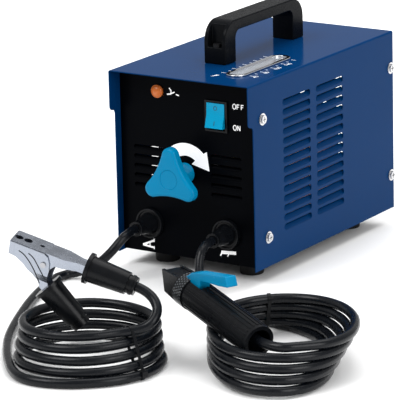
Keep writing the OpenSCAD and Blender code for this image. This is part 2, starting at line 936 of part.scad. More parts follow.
module earth_gland() {
    color([0.03, 0.03, 0.035]) gland(outlet_x[0]);
}

module electrode_gland() {
    color([0.03, 0.03, 0.035]) gland(outlet_x[1]);
}

module mains_gland() {
    color([0.03, 0.03, 0.035])
    translate([inlet_x, rear_y, inlet_z]) rotate([-90, 0, 0]) difference() {
        union() {
            translate([0, 0, panel_t]) cylinder(r = 11, h = 3);
            translate([0, 0, panel_t]) cylinder(r = 8.5, h = 7.4);
            translate([0, 0, -8]) cylinder(r = 8, h = 10);
        }
        translate([0, 0, -9]) cylinder(r = inlet_r, h = 20);
    }
}

// Cables ----------------------------------------------------------------------

module earth_cable_lead() {
    color([0.02, 0.02, 0.02]) tube(earth_lead, cable_r);
}

module earth_cable_tail() {
    color([0.02, 0.02, 0.02]) tube(earth_tail, cable_r);
}

module electrode_cable_lead() {
    color([0.02, 0.02, 0.02]) tube(electrode_lead, cable_r);
}

module electrode_cable_tail() {
    color([0.02, 0.02, 0.02]) tube(electrode_tail, cable_r);
}

// Five turns on each other, wider and further forward towards the floor.
module earth_cable_coil() {
    color([0.02, 0.02, 0.02])
    translate([earth_coil_x, earth_coil_y, 0]) rotate([0, 0, coil_turn]) union() {
        for (i = [0:earth_layers - 1]) {
            down = earth_layers - 1 - i;
            translate([earth_lean * down, 0, i * cable_d]) rotate_extrude()
                translate([earth_coil_r + earth_widen * down - cable_r, 0])
                    square([cable_d, cable_d + (down > 0 ? coil_overlap : 0)]);
        }
    }
}

// Ring between two long rounds, the straight part along X.
module long_ring(half, r) {
    difference() {
        slot_x(half, r + cable_r);
        slot_x(half, r - cable_r);
    }
}

module slot_x(half, r) {
    translate([-half, 0]) circle(r = r);
    translate([half, 0]) circle(r = r);
    translate([-half, -r]) square([2 * half, 2 * r]);
}

// Four long turns, leaning over to one side, and most of a fifth that comes from the holder.
module electrode_cable_coil() {
    color([0.02, 0.02, 0.02])
    translate([electrode_coil_x, electrode_coil_y, 0]) rotate([0, 0, coil_turn]) union() {
        for (i = [0:electrode_layers - 1]) {
            down = electrode_layers - i;
            translate([0, -electrode_lean * down, i * cable_d])
                linear_extrude(cable_d + coil_overlap)
                long_ring(electrode_straight + electrode_lengthen * down,
                          electrode_coil_r - electrode_lean * down);
        }
        intersection() {
            translate([0, 0, electrode_layers * cable_d]) linear_extrude(cable_d)
                long_ring(electrode_straight, electrode_coil_r);
            union() {
                box([-120, -4, 0], [0, 120, 60]);
                box([-1, -4, 0], [120, 120, 60]);
            }
        }
    }
}

// A flat band over the turns of each coil.
module cable_ties() {
    color([0.05, 0.05, 0.05]) {
        translate([earth_coil_x, earth_coil_y, 0]) rotate([0, 0, coil_turn + 50])
            tie(earth_coil_r, earth_layers * cable_d, 4.6);
        translate([electrode_coil_x, electrode_coil_y, 0]) rotate([0, 0, coil_turn + 188])
            tie(electrode_coil_r + electrode_straight + 5.3, electrode_layers * cable_d, 5);
    }
}

// Band around turns at radius r and height h that step outwards by lean for each turn down.
module tie(r, h, lean) {
    band = 1.2;
    foot = cable_d + 1;
    inner = r - cable_r - 0.4;
    outer = r + cable_r + 0.5;
    reach = lean / cable_d;
    translate([0, 2, 0]) rotate([90, 0, 0]) linear_extrude(4) difference() {
        polygon([
            [inner - band, foot], [inner - band, h + 1.6], [outer + band, h + 1.6],
            [outer + band + reach * (h - foot), foot]
        ]);
        polygon([
            [inner, foot - 1], [inner, h + 0.4], [outer, h + 0.4],
            [outer + reach * (h + 1 - foot), foot - 1]
        ]);
    }
}

// Earth clamp -----------------------------------------------------------------

module at_clamp() {
    translate(clamp_at) rotate(clamp_turn) children();
}

// Plan of the upper arm: wide jaw, then a tongue that runs into the sleeve.
module upper_plan(inset) {
    w = clamp_w / 2 - clamp_t - 0.5 - inset;
    tongue = tongue_w - inset;
    polygon([
        [-30, -w], [30, -w], [44, -tongue], [sleeve_x + 36, -tongue],
        [sleeve_x + 36, tongue], [44, tongue], [30, w], [-30, w]
    ]);
}

// Pressed from sheet: a channel that is open below.
module clamp_upper_arm() {
    color([0.75, 0.76, 0.78])
    at_clamp() difference() {
        intersection() {
            translate([0, 0, -20]) linear_extrude(30) upper_plan(0);
            slab_y(-20, 20) polygon([
                [-22, 4], [-22, 2.4], [-17.6, 2.4], [-17.6, -4], [-2, -6], [8, -12], [19, -12],
                [24, -5.5], [44, -4], [sleeve_x + 36, -4], [sleeve_x + 36, 4]
            ]);
        }
        translate([0, 0, -20]) linear_extrude(20 + 4 - clamp_t) upper_plan(clamp_t);
        rod_y(clamp_pin[0], clamp_pin[1], pin_r + 0.3, -20, 20);
        for (hole = [[-17, 4], [-8, 4], [6, 2.2]]) {
            translate([hole[0], 0, 0]) cylinder(r = hole[1], h = 8);
        }
    }
}

// Front view of the lower arm: as wide as the jaw above, then a narrow tongue.
module lower_front(inset) {
    w = clamp_w / 2 - inset;
    tongue = tongue_w - inset;
    polygon([
        [-w, 6], [-w, -17], [-tongue, -26], [-tongue, -70],
        [tongue, -70], [tongue, -26], [w, -17], [w, 6]
    ]);
}

// Side of the lower arm; skin is the thickness left off its outer edge.
module lower_side(skin) {
    along = [cos(lower_angle), sin(lower_angle)];
    across = [-along[1], along[0]];
    end = lower_sleeve + 36 * along;
    polygon([
        [-21.5 + skin, 3.6], [-20 + skin, -8.4 + skin], [-13.4 + skin * 0.2, -8.8 + skin],
        [-4.5 + skin * 0.4, -12.8 + skin], [5.5 + skin * 0.7, -20.6 + skin],
        [12.5 + skin * 0.7, -28.5 + skin], [15 + skin * 0.7, -33 + skin],
        end - (4 - skin) * across, end + 4 * across, lower_sleeve - along + 4 * across,
        [20.4, -22], [20.6, -13], [19.4, -5], [16, 1.6], [12, 3.6]
    ]);
}

module clamp_lower_arm() {
    color([0.75, 0.76, 0.78])
    at_clamp() difference() {
        intersection() {
            slab_x(-40, 80) lower_front(0);
            slab_y(-20, 20) lower_side(0);
        }
        intersection() {
            slab_x(-40, 80) lower_front(clamp_t);
            slab_y(-20, 20) union() {
                lower_side(clamp_t);
                polygon([
                    [-40, 8], [-40, 2], [-18.2, 2], [-18.2, -6.9], [-12.8, -7.3], [-3.4, -11.4],
                    [6.8, -19.4], [13.8, -27.4], [30, -30], [30, 8]
                ]);
            }
        }
        rod_y(clamp_pin[0], clamp_pin[1], pin_r + run_gap, -20, 20);
    }
}

// Rivet through both arms, headed outside.
module clamp_rivet() {
    side = clamp_w / 2 + 0.2;
    color([0.6, 0.6, 0.62])
    at_clamp() union() {
        rod_y(clamp_pin[0], clamp_pin[1], pin_r, -side - 0.5, side + 0.5);
        rod_y(clamp_pin[0], clamp_pin[1], pin_r + 0.7, -side - 0.9, -side);
        rod_y(clamp_pin[0], clamp_pin[1], pin_r + 0.7, side, side + 0.9);
    }
}

// Torsion spring around the rivet, with its leg under the upper arm.
module clamp_spring() {
    wire = 0.9;
    turns = 8;
    pitch = 1.7;
    color([0.65, 0.65, 0.67])
    at_clamp() translate([clamp_pin[0], -pitch * (turns - 1) / 2, clamp_pin[1]]) union() {
        for (i = [0:turns - 1]) {
            translate([0, pitch * i, 0]) rotate([90, 0, 0]) rotate_extrude()
                translate([5, 0]) circle(r = wire, $fn = 16);
        }
        rod_x(0, 5, 0.65, 0, 20);
    }
}

// Insulating sleeve along X: flange, tapered body and end collar, hollow for the tongue.
module sleeve(bore) {
    rotate([0, 90, 0]) difference() {
        union() {
            cylinder(r = 14.5, h = 3.5);
            cylinder(r1 = 12.5, r2 = 10.5, h = sleeve_l - 8);
            translate([0, 0, sleeve_l - 9]) cylinder(r = 8.6, h = 9);
            translate([0, 0, sleeve_l - 5]) cylinder(r = 9.4, h = 2.5);
        }
        translate([0, 0, sleeve_l - 12]) cylinder(r = bore, h = 20);
        translate([-4.2, -tongue_w - 0.1, -1]) cube([8.4, 2 * tongue_w + 0.2, sleeve_l - 10]);
    }
}

module clamp_cable_sleeve() {
    color([0.04, 0.04, 0.045])
    at_clamp() translate([sleeve_x, 0, 0]) sleeve(cable_r + 0.1);
}

module clamp_grip_sleeve() {
    color([0.04, 0.04, 0.045])
    at_clamp() translate([lower_sleeve[0], 0, lower_sleeve[1]])
        rotate([0, -lower_angle, 0]) sleeve(6.5);
}

// Electrode holder --------------------------------------------------------------

module at_holder() {
    translate(holder_at) rotate(holder_turn) children();
}

// Insulating box around the jaws, open at the top and at the front, with a socket for the pin.
module holder_head() {
    w = head_w / 2;
    color([0.04, 0.04, 0.045])
    at_holder() difference() {
        union() {
            slab_y(-w, w) polygon([
                [head_start, 9.5], [head_l, 12.6], [head_l, -12.6], [head_start + 7, -10.6]
            ]);
            slab_y(-w, w) polygon([[head_l - 1, 11], [56, 11], [56, 1], [head_l - 1, -8]]);
        }
        box([head_start - 1, -head_slot, -2], [60, head_slot, 16]);
        rod_y(lever_pin[0], lever_pin[1], pin_r, -w - 1, w + 1);
    }
}

module holder_grip() {
    w = head_w / 2 + 0.2;
    slot = 6.5;
    color([0.04, 0.04, 0.045])
    at_holder() difference() {
        union() {
            rod_x(0, 0, grip_r + 1.2, head_l + 0.2, head_l + 14);
            rod_x(0, 0, grip_r, head_l + 0.2, holder_l);
            for (a = [0:15:345]) {
                rotate([a, 0, 0])
                    box([head_l + 17, -0.9, grip_r - 1], [holder_l - 4, 0.9, grip_r + 0.7]);
            }
        }
        rod_x(0, 0, bore_r, head_l - 1, holder_l + 1);
        box([head_l - 1, -w, -8.2], [56.5, w, 11.3]);
        box([head_l - 1, -slot, 0], [head_l + 33, slot, 20]);
    }
}

// Lever over the grip; pressing it lifts the upper jaw.
module holder_lever() {
    x = lever_pin[0];
    color([0.0, 0.55, 0.75])
    at_holder() difference() {
        slab_y(-5.8, 5.8) polygon([
            [x - 4, 3], [x - 4, 11], [58, 22], [68, 26.5], [113, 41.5], [118, 33],
            [104, 28.6], [88, 24.6], [74, 20.6], [73, 9.6], [60, 9.6], [x + 5, 3]
        ]);
        rod_y(x, lever_pin[1], pin_r + run_gap, -10, 10);
    }
}

// Upper jaw under its insulating cap, with a groove for the electrode at the tip.
module holder_upper_jaw() {
    tip = head_start + 1;
    x = lever_pin[0] - 4;
    color([0.05, 0.05, 0.055])
    at_holder() difference() {
        slab_y(-7.6, 7.6) polygon([[tip + 2, 0.4], [tip, 8.6], [x - 6, 11.6], [x, 9.2], [x, 0.4]]);
        translate([tip - 1, 0, 9.6]) rotate([45, 0, 0]) cube([7, 4.4, 4.4]);
    }
}

// Lower jaw, its shank through the grip and the socket that holds the cable.
module holder_lower_jaw() {
    color([0.72, 0.55, 0.28])
    at_holder() difference() {
        union() {
            box([head_start + 5, -5, -1.9], [84, 5, 0]);
            rod_x(0, -1.9, 6.4, 80, 116);
        }
        rod_x(0, 0, cable_r + 0.1, 92, 120);
    }
}

module holder_pin() {
    w = head_w / 2;
    color([0.6, 0.6, 0.62])
    at_holder() rod_y(lever_pin[0], lever_pin[1], pin_r, -w, w);
}

// Compression spring that stands on the lower jaw under the lever.
module holder_spring() {
    color([0.65, 0.65, 0.67])
    at_holder() translate([67, 0, 0.8]) union() {
        for (i = [0:5]) {
            translate([0, 0, 1.5 * i]) rotate_extrude()
                translate([3.5, 0]) circle(r = 0.8, $fn = 16);
        }
    }
}

in_set() cover();
in_set() front_panel();
in_set() rear_panel();
in_set() base_plate();
in_set() feet();
in_set() machine_screws();
in_set() cover_screws();
in_set() lock_nuts();
in_set() handle();
in_set() scale_bezel();
in_set() scale_lens();
in_set() scale_pointer();
in_set() knob();
in_set() knob_cap();
in_set() spindle();
in_set() spindle_bush();
in_set() rear_bracket();
in_set() shunt_core();
in_set() shunt_nut();
in_set() shunt_guides();
in_set() transformer_core();
in_set() core_brackets();
in_set() core_bolts();
in_set() coil_formers();
in_set() primary_winding();
in_set() secondary_winding();
in_set() thermal_cutout();
in_set() output_board();
in_set() output_lugs();
in_set() output_studs();
in_set() fan_motor();
in_set() fan_blades();
in_set() mains_terminal_block();
in_set() switch_frame();
in_set() switch_rocker();
in_set() lamp_lens();
in_set() lamp_body();
in_set() earth_gland();
in_set() electrode_gland();
in_set() mains_gland();
in_set() earth_cable_lead();
in_set() earth_cable_coil();
in_set() earth_cable_tail();
in_set() electrode_cable_lead();
in_set() electrode_cable_coil();
in_set() electrode_cable_tail();
in_set() cable_ties();
in_set() clamp_upper_arm();
in_set() clamp_lower_arm();
in_set() clamp_rivet();
in_set() clamp_spring();
in_set() clamp_cable_sleeve();
in_set() clamp_grip_sleeve();
in_set() holder_head();
in_set() holder_grip();
in_set() holder_lever();
in_set() holder_upper_jaw();
in_set() holder_lower_jaw();
in_set() holder_pin();
in_set() holder_spring();
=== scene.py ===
"""Looks of the portable stick-welding transformer: camera, light, materials, cables and small parts."""

import json
import math

import bmesh
import bpy
from mathutils import Euler, Matrix, Vector


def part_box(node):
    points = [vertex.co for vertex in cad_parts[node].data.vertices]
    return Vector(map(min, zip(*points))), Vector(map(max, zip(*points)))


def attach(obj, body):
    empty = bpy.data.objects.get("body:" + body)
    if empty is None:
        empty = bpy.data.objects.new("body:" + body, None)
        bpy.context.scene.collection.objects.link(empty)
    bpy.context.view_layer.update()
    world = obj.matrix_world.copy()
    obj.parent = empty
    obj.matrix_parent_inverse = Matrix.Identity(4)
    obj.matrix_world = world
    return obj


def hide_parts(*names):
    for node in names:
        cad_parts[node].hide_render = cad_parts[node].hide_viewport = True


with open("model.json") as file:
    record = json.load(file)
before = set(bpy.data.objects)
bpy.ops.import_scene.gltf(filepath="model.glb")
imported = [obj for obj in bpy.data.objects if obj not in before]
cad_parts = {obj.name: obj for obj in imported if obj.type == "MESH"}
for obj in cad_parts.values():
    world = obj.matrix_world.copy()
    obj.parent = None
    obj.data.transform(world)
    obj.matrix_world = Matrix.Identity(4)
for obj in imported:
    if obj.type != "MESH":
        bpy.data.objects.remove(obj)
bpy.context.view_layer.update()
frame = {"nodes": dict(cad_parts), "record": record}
nodes = frame["nodes"]


# Layout: millimetres from the middle of the case and the front edge of its sides, z from the floor.
cover_low, cover_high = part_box("cover")
LIP = 9
CASE_X = (cover_low.x + cover_high.x) / 2
EDGE_Y = cover_low.y + LIP / 1000
MM = 0.001


def at(x, y, z):
    """A layout point in the frame, in metres."""
    return Vector((CASE_X + x * MM, EDGE_Y + y * MM, z * MM))


# Colours, linear
NAVY = (0.0005, 0.030, 0.112)
PANEL_BLACK = (0.0009, 0.0012, 0.0020)
PLASTIC_BLACK = (0.0030, 0.0036, 0.0048)
CABLE_BLACK = (0.0032, 0.0042, 0.0062)
KNOB_BLUE = (0.0, 0.21, 0.41)
SWITCH_BLUE = (0.0, 0.30, 0.52)
AMBER = (0.55, 0.13, 0.02)
WHITE = (0.86, 0.86, 0.86)
ZINC = (0.36, 0.39, 0.45)
STEEL = (0.42, 0.42, 0.44)
BRASS = (0.62, 0.42, 0.16)
COPPER = (0.30, 0.11, 0.045)
LAMINATION = (0.12, 0.12, 0.13)


# Materials -----------------------------------------------------------------


def add(tree, kind, **values):
    """A shader node with its sockets set."""
    node = tree.nodes.new(kind)
    for name, value in values.items():
        node.inputs[name.replace("_", " ")].default_value = value
    return node


def link(tree, out, into):
    tree.links.new(out, into)


def noise(tree, place, scale, detail=4.0, rough=0.55):
    """Noise at a scale given in cycles per metre."""
    node = add(tree, "ShaderNodeTexNoise", Scale=scale, Detail=detail, Roughness=rough)
    link(tree, place, node.inputs["Vector"])
    return node.outputs["Fac"]


def remap(tree, value, low, high, start=0.0, end=1.0):
    """value from start..end mapped to low..high."""
    node = tree.nodes.new("ShaderNodeMapRange")
    node.inputs["From Min"].default_value = start
    node.inputs["From Max"].default_value = end
    node.inputs["To Min"].default_value = low
    node.inputs["To Max"].default_value = high
    link(tree, value, node.inputs["Value"])
    return node.outputs["Result"]


def mix(tree, factor, a, b):
    """Colour between a and b, which are colours or sockets."""
    node = tree.nodes.new("ShaderNodeMix")
    node.data_type = "RGBA"
    link(tree, factor, node.inputs["Factor"])
    for socket, value in ((node.inputs["A"], a), (node.inputs["B"], b)):
        if isinstance(value, tuple):
            socket.default_value = (*value[:3], 1.0)
        else:
            link(tree, value, socket)
    return node.outputs["Result"]


def emboss(tree, body, height, depth, strength=1.0):
    """Gives a surface relief of a height map; strength is a number or a socket."""
    bump = tree.nodes.new("ShaderNodeBump")
    bump.inputs["Distance"].default_value = depth
    if isinstance(strength, float):
        bump.inputs["Strength"].default_value = strength
    else:
        link(tree, strength, bump.inputs["Strength"])
    link(tree, height, bump.inputs["Height"])
    link(tree, bump.outputs["Normal"], body.inputs["Normal"])


def shade(colour, factor):
    return tuple(min(1.0, c * factor) for c in colour)


def surface(name, colour, rough=0.5, spread=0.08, metal=0.0, grain=900, bump=0.1, depth=0.00005,
            cloud=0.15, level=0.5, stretch=(1, 1, 1), painted_glow=0.0):
    """A painted, moulded or metal surface: cloudy colour, uneven gloss and a fine grain.

    grain is in cycles per metre, depth is the height of the grain in metres, and stretch draws it
    out along an axis, as brushing or drawing does. The glow argument makes the surface shine faintly in its
    own colour: painted light.
    """
    made = bpy.data.materials.new(name)
    made.use_nodes = True
    tree = made.node_tree
    body = tree.nodes["Principled BSDF"]
    where = tree.nodes.new("ShaderNodeTexCoord").outputs["Object"]
    mapping = add(tree, "ShaderNodeMapping", Scale=stretch)
    link(tree, where, mapping.inputs["Vector"])
    place = mapping.outputs["Vector"]
    clouds = noise(tree, where, 28, 5.0)
    fine = noise(tree, place, grain, 3.0)
    smears = noise(tree, place, 90, 6.0, 0.7)
    light, dark = shade(colour, 1 + cloud), shade(colour, 1 - cloud)
    link(tree, mix(tree, clouds, dark, light), body.inputs["Base Color"])
    link(tree, remap(tree, smears, rough - spread, rough + spread, 0.3, 0.7), body.inputs["Roughness"])
    body.inputs["Metallic"].default_value = metal
    body.inputs["Specular IOR Level"].default_value = level
    body.inputs["Emission Color"].default_value = (*colour, 1.0)
    body.inputs["Emission Strength"].default_value = painted_glow
    emboss(tree, body, fine, depth, bump)
    return made


def clear(name, colour, rough=0.05):
    """A see-through plastic or glass."""
    made = surface(name, colour, rough=rough, spread=0.02, bump=0.03, cloud=0.02)
    body = made.node_tree.nodes["Principled BSDF"]
    body.inputs["Transmission Weight"].default_value = 0.72
    body.inputs["IOR"].default_value = 1.46
    return made


def banded(name, colour, pitch, axis, metal, rough):
    """A surface with fine bands pitch millimetres apart along an axis: laminations or wire turns."""
    made = surface(name, colour, rough=rough, metal=metal, cloud=0.2)
    tree = made.node_tree
    body = tree.nodes["Principled BSDF"]
    where = tree.nodes.new("ShaderNodeTexCoord").outputs["Object"]
    wave = tree.nodes.new("ShaderNodeTexWave")
    wave.bands_direction = axis
    wave.inputs["Scale"].default_value = math.pi / (10 * pitch * MM)
    wave.inputs["Distortion"].default_value = 0.6
    link(tree, where, wave.inputs["Vector"])
    link(tree, mix(tree, wave.outputs["Fac"], shade(colour, 0.45), shade(colour, 1.35)),
         body.inputs["Base Color"])
    emboss(tree, body, wave.outputs["Fac"], 0.0002, 0.6)
    return made


def grained_top(name, colour):
    """Moulded black plastic with a coarse grain only where it faces up."""
    made = surface(name, colour, rough=0.26, spread=0.06, grain=500, bump=0.12, cloud=0.1, level=0.05)
    tree = made.node_tree
    body = tree.nodes["Principled BSDF"]
    facing = tree.nodes.new("ShaderNodeSeparateXYZ")
    link(tree, tree.nodes.new("ShaderNodeNewGeometry").outputs["Normal"], facing.inputs["Vector"])
    up = remap(tree, facing.outputs["Z"], 0.03, 0.9, 0.85, 0.98)
    where = tree.nodes.new("ShaderNodeTexCoord").outputs["Object"]
    cells = add(tree, "ShaderNodeTexVoronoi", Scale=900.0)
    link(tree, where, cells.inputs["Vector"])
    emboss(tree, body, cells.outputs["Distance"], 0.0003, up)
    return made


MATERIALS = {
    "navy_paint": surface("navy_paint", NAVY, rough=0.13, spread=0.03, grain=700, bump=0.06,
                          depth=0.00003, cloud=0.05, level=0.03),
    "black_paint": surface("black_paint", PANEL_BLACK, rough=0.34, spread=0.05, grain=1500, bump=0.20,
                           cloud=0.08, level=0.02),
    "rubber": surface("rubber", (0.006, 0.006, 0.0065), rough=0.62, grain=1200, bump=0.25, level=0.2),
    "zinc_screws": surface("zinc_screws", (0.62, 0.62, 0.63), rough=0.24, spread=0.06, metal=1.0,
                           grain=1500),
    "handle_plastic": grained_top("handle_plastic", PLASTIC_BLACK),
    "chromed_ring": surface("chromed_ring", (0.72, 0.73, 0.76), rough=0.12, spread=0.05, metal=1.0,
                            cloud=0.03),
    "clear_window": clear("clear_window", (0.70, 0.74, 0.80), 0.12),
    "pointer_red": surface("pointer_red", (0.5, 0.015, 0.01), rough=0.35, level=0.3),
    "blue_plastic": surface("blue_plastic", KNOB_BLUE, rough=0.24, spread=0.05, grain=1400, bump=0.10,
                            cloud=0.05, level=0.09),
    "steel": surface("steel", STEEL, rough=0.30, metal=1.0, stretch=(1, 0.1, 1)),
    "brass": surface("brass", BRASS, rough=0.32, metal=1.0),
    "zinc_sheet": surface("zinc_sheet", (0.40, 0.41, 0.43), rough=0.36, metal=1.0, grain=300),
    "lamination": banded("lamination", LAMINATION, 1.0, "Y", metal=0.7, rough=0.5),
    "guide_laminate": surface("guide_laminate", (0.16, 0.09, 0.04), rough=0.5),
    "bobbin_plastic": surface("bobbin_plastic", (0.30, 0.29, 0.25), rough=0.5),
    "winding_copper": banded("winding_copper", COPPER, 2.2, "Z", metal=0.6, rough=0.35),
    "black_plastic": surface("black_plastic", PLASTIC_BLACK, rough=0.30, spread=0.07, grain=1100,
                             bump=0.16, cloud=0.12, level=0.17),
    "motor_steel": surface("motor_steel", (0.22, 0.22, 0.24), rough=0.4, metal=1.0),
    "switch_blue": surface("switch_blue", SWITCH_BLUE, rough=0.18, spread=0.03, cloud=0.04, level=0.16),
    "lamp_amber": surface("lamp_amber", AMBER, rough=0.15, spread=0.03, cloud=0.3, grain=500, bump=0.6,
                          depth=0.0003, level=0.4),
    "cable_rubber": surface("cable_rubber", CABLE_BLACK, rough=0.27, spread=0.08, grain=500, bump=0.25,
                            depth=0.0001, cloud=0.2, level=0.22),
    "clamp_zinc": surface("clamp_zinc", ZINC, rough=0.26, spread=0.10, metal=1.0, grain=420, bump=0.14,
                          cloud=0.10, stretch=(1, 1, 0.35)),
    "spring_steel": surface("spring_steel", STEEL, rough=0.3, metal=1.0),
}
BLACKENED = surface("blackened_steel", (0.008, 0.008, 0.009), rough=0.4, level=0.2)
# White print, made to glow faintly so that it looks brighter: painted light.
PRINT_WHITE_PAINTED_GLOW = surface("print_white_painted_glow", WHITE, rough=0.45, grain=2000, bump=0.1, cloud=0.03, painted_glow=0.3)
# Light grey for the dots that stand for the knurl on the holder's collar: painted glints.
KNURL_GLINTS = surface("knurl_painted_glints", (0.10, 0.11, 0.12), rough=0.25, level=0.5)
PRINT_DARK = surface("print_dark", (0.004, 0.035, 0.06), rough=0.5, grain=2000, bump=0.1)


# Radius in millimetres of the soft edges of moulded and pressed nodes.
EDGES = {
    "cover": 0.3, "front_panel": 0.2, "rear_panel": 0.2, "base_plate": 0.3, "feet": 1.2,
    "handle": 1.1, "knob_cap": 0.3, "scale_bezel": 0.6, "switch_frame": 0.6, "switch_rocker": 0.9,
    "lamp_lens": 0.3, "earth_gland": 0.5, "electrode_gland": 0.5, "mains_gland": 0.5,
    "clamp_upper_arm": 0.45, "clamp_lower_arm": 0.45, "clamp_rivet": 0.5,
    "clamp_cable_sleeve": 0.6, "clamp_grip_sleeve": 0.6,
    "holder_head": 0.8, "holder_grip": 0.35, "holder_lever": 1.0, "holder_upper_jaw": 0.8,
    "cover_screws": 0.25, "machine_screws": 0.3,
}
CREASE = math.radians(32)


def dress_frame():
    """Gives each CAD node its material, and soft edges where a moulded or pressed part has them."""
    slots = {row["node"]: row["material_slot"] for row in frame["record"]["subparts"]}
    for name, node in nodes.items():
        node.data.materials.clear()
        dark = name == "machine_screws"
        node.data.materials.append(BLACKENED if dark else MATERIALS[slots[name]])
        weld = node.modifiers.new("weld", "WELD")
        weld.merge_threshold = 0.00001
        if name in EDGES:
            bevel = node.modifiers.new("edges", "BEVEL")
            bevel.width = EDGES[name] * MM
            bevel.segments = 3
            bevel.limit_method = "ANGLE"
            bevel.angle_limit = CREASE
        for face in node.data.polygons:
            face.use_smooth = True
        split = node.modifiers.new("creases", "EDGE_SPLIT")
        split.split_angle = CREASE
        even = node.modifiers.new("even_faces", "WEIGHTED_NORMAL")
        even.weight = 100


# Pieces ----------------------------------------------------------------------


def keep(obj, material, body="welder"):
    """Finishes a new piece: its material and the body it rides on."""
    obj.data.materials.append(material)
    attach(obj, body)
    return obj


def new_mesh(name, points, faces):
    mesh = bpy.data.meshes.new(name)
    mesh.from_pydata([tuple(p) for p in points], [], faces)
    mesh.update()
    obj = bpy.data.objects.new(name, mesh)
    bpy.context.scene.collection.objects.link(obj)
    return obj


def smooth_line(points, step):
    """A curve through the points, as points about step apart."""
    line = []
    for i in range(len(points) - 1):
        a = points[max(i - 1, 0)]
        b, c = points[i], points[i + 1]
        d = points[min(i + 2, len(points) - 1)]
        count = max(1, round((c - b).length / step))
        for k in range(count):
            t = k / count
            line.append(0.5 * (2 * b + (c - a) * t + (2 * a - 5 * b + 4 * c - d) * t ** 2
                               + (3 * b - a - 3 * c + d) * t ** 3))
    line.append(points[-1])
    return line


def tube(name, line, diameter):
    """A round bar or cable along a line of points."""
    curve = bpy.data.curves.new(name, "CURVE")
    curve.dimensions = "3D"
    curve.bevel_depth = diameter / 2
    curve.bevel_resolution = 6
    curve.use_fill_caps = True
    spline = curve.splines.new("POLY")
    spline.points.add(len(line) - 1)
    for point, place in zip(spline.points, line):
        point.co = (*place, 1)
    spline.use_smooth = True
    obj = bpy.data.objects.new(name, curve)
    bpy.context.scene.collection.objects.link(obj)
    return obj


# Cables ----------------------------------------------------------------------

CABLE_D = 9
COIL_TURN = math.radians(-57)
FORWARD = Vector((math.cos(COIL_TURN), math.sin(COIL_TURN), 0))
ACROSS = Vector((-math.sin(COIL_TURN), math.cos(COIL_TURN), 0))
FLAT_TURN = 0.25
EARTH_COIL = (65.5, -264)
ELECTRODE_COIL = (228.5, -190)

EARTH_LEAD = [
    (-47, -19, 47), (-47, -31, 46), (-49, -42, 41), (-54, -50, 32), (-63, -55, 22), (-76, -57, 13),
    (-90, -59, 7), (-100, -65, 4.8), (-102, -79, 4.8), (-97, -101, 4.8), (-88, -131, 4.8),
    (-76, -163, 4.8), (-62, -195, 4.8), (-45, -231, 4.8), (-27, -264, 4.8), (-6, -295, 4.8),
    (14, -320, 4.8), (31, -338, 4.8), (49, -350, 4.8), (68, -353, 4.8), (87, -349, 4.8),
]
ELECTRODE_LEAD = [
    (43, -19, 47), (43, -31, 46), (44, -41, 40), (46, -48, 29), (51, -54, 17), (60, -60, 8),
    (73, -67, 4.9), (89, -76, 4.8), (106, -86, 4.8), (125, -95, 4.8), (146, -101, 4.8), (168, -103, 4.8),
]
EARTH_TAIL = [
    (134, -280, 44), (141, -272.5, 49.5), (140.5, -264, 57), (134.5, -259, 64.5), (126, -258, 70.5),
    (117, -259.8, 74.8), (109, -262.5, 77.7),
]
ELECTRODE_TAIL = [
    (266, -260, 40.9), (255, -259.5, 40.9), (243, -255, 41.5), (230, -249, 43.4),
    (215.3, -242.2, 45.8), (194, -232.3, 50),
]


def coil_height(turn, turns, top):
    """Height of the strand: flat on the floor at first, then one strand higher for each turn."""
    low = CABLE_D / 2 + 0.3
    return low + (top - low) * max(0.0, turn - FLAT_TURN) / (turns - FLAT_TURN)


def round_coil(centre, radius, lean, widen, start, end, turns_full, top, steps=36):
    """Turns of a coil seen from above, anticlockwise from start to end degrees, wider to the floor."""
    total = (end - start) % 360 / 360 + turns_full
    points = []
    count = round(total * steps)
    for i in range(count + 1):
        turn = total * i / count
        down = (turns_full + 0.2) * (1 - turn / total)
        angle = math.radians(start + 360 * turn)
        reach = radius + widen * down + 0.7 * math.sin(3 * angle + 2 * turn)
        middle = at(*centre, 0) + FORWARD * lean * down * MM
        spot = middle + Vector((math.cos(angle), math.sin(angle), 0)) * reach * MM
        spot.z = coil_height(turn, total, top) * MM
        points.append(spot)
    return points


def long_coil(centre, half_long, half_wide, longer, lean, start, end, turns_full, top, steps=36):
    """Turns of an oval coil, clockwise from above; each turn down is longer and leans to one side."""
    total = (start - end) % 360 / 360 + turns_full
    points = []
    count = round(total * steps)
    for i in range(count + 1):
        turn = total * i / count
        down = (turns_full + 0.2) * (1 - turn / total)
        angle = math.radians(start - 360 * turn)
        along = (half_long + longer * down) * math.copysign(abs(math.cos(angle)) ** 0.9, math.cos(angle))
        wide = (half_wide - lean * down) * math.copysign(abs(math.sin(angle)) ** 0.95, math.sin(angle))
        spot = at(*centre, 0) + (FORWARD * along + ACROSS * (wide - lean * down)) * MM
        spot.z = coil_height(turn, total, top) * MM
        points.append(spot)
    return points


def cable(name, lead, coil, tail, pieces, centre, angle):
    """A cable from its gland through the coil to its tool, as one line, and its strap at an angle.
    """
    line = smooth_line([at(*p) for p in lead] + coil[::3] + [at(*p) for p in tail], 0.004)
    obj = tube(name, line, CABLE_D * MM)
    pieces = pieces + [strap(name.replace("cable", "tie"), line, centre, angle)]
    keep(obj, MATERIALS["cable_rubber"])
    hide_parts(name + "_lead", name + "_coil", name + "_tail")


def cables():
    """Both cables, each with the strap that holds its coil."""
    earth = round_coil(EARTH_COIL, 60, 4.5, 1.5, 299, 341, 4, 41.5)
    cable("earth_cable", EARTH_LEAD, earth, EARTH_TAIL,
          [nodes["clamp_cable_sleeve"], nodes["clamp_upper_arm"]],
          EARTH_COIL, COIL_TURN + math.radians(36))
    electrode = long_coil(ELECTRODE_COIL, 80, 66, 5, 3, 153, 3, 4, 40.9)
    cable("electrode_cable", ELECTRODE_LEAD, electrode, ELECTRODE_TAIL,
          [nodes["holder_grip"], nodes["holder_head"]],
          ELECTRODE_COIL, COIL_TURN + math.radians(188))


# Straps and springs -------------------------------------------------------------


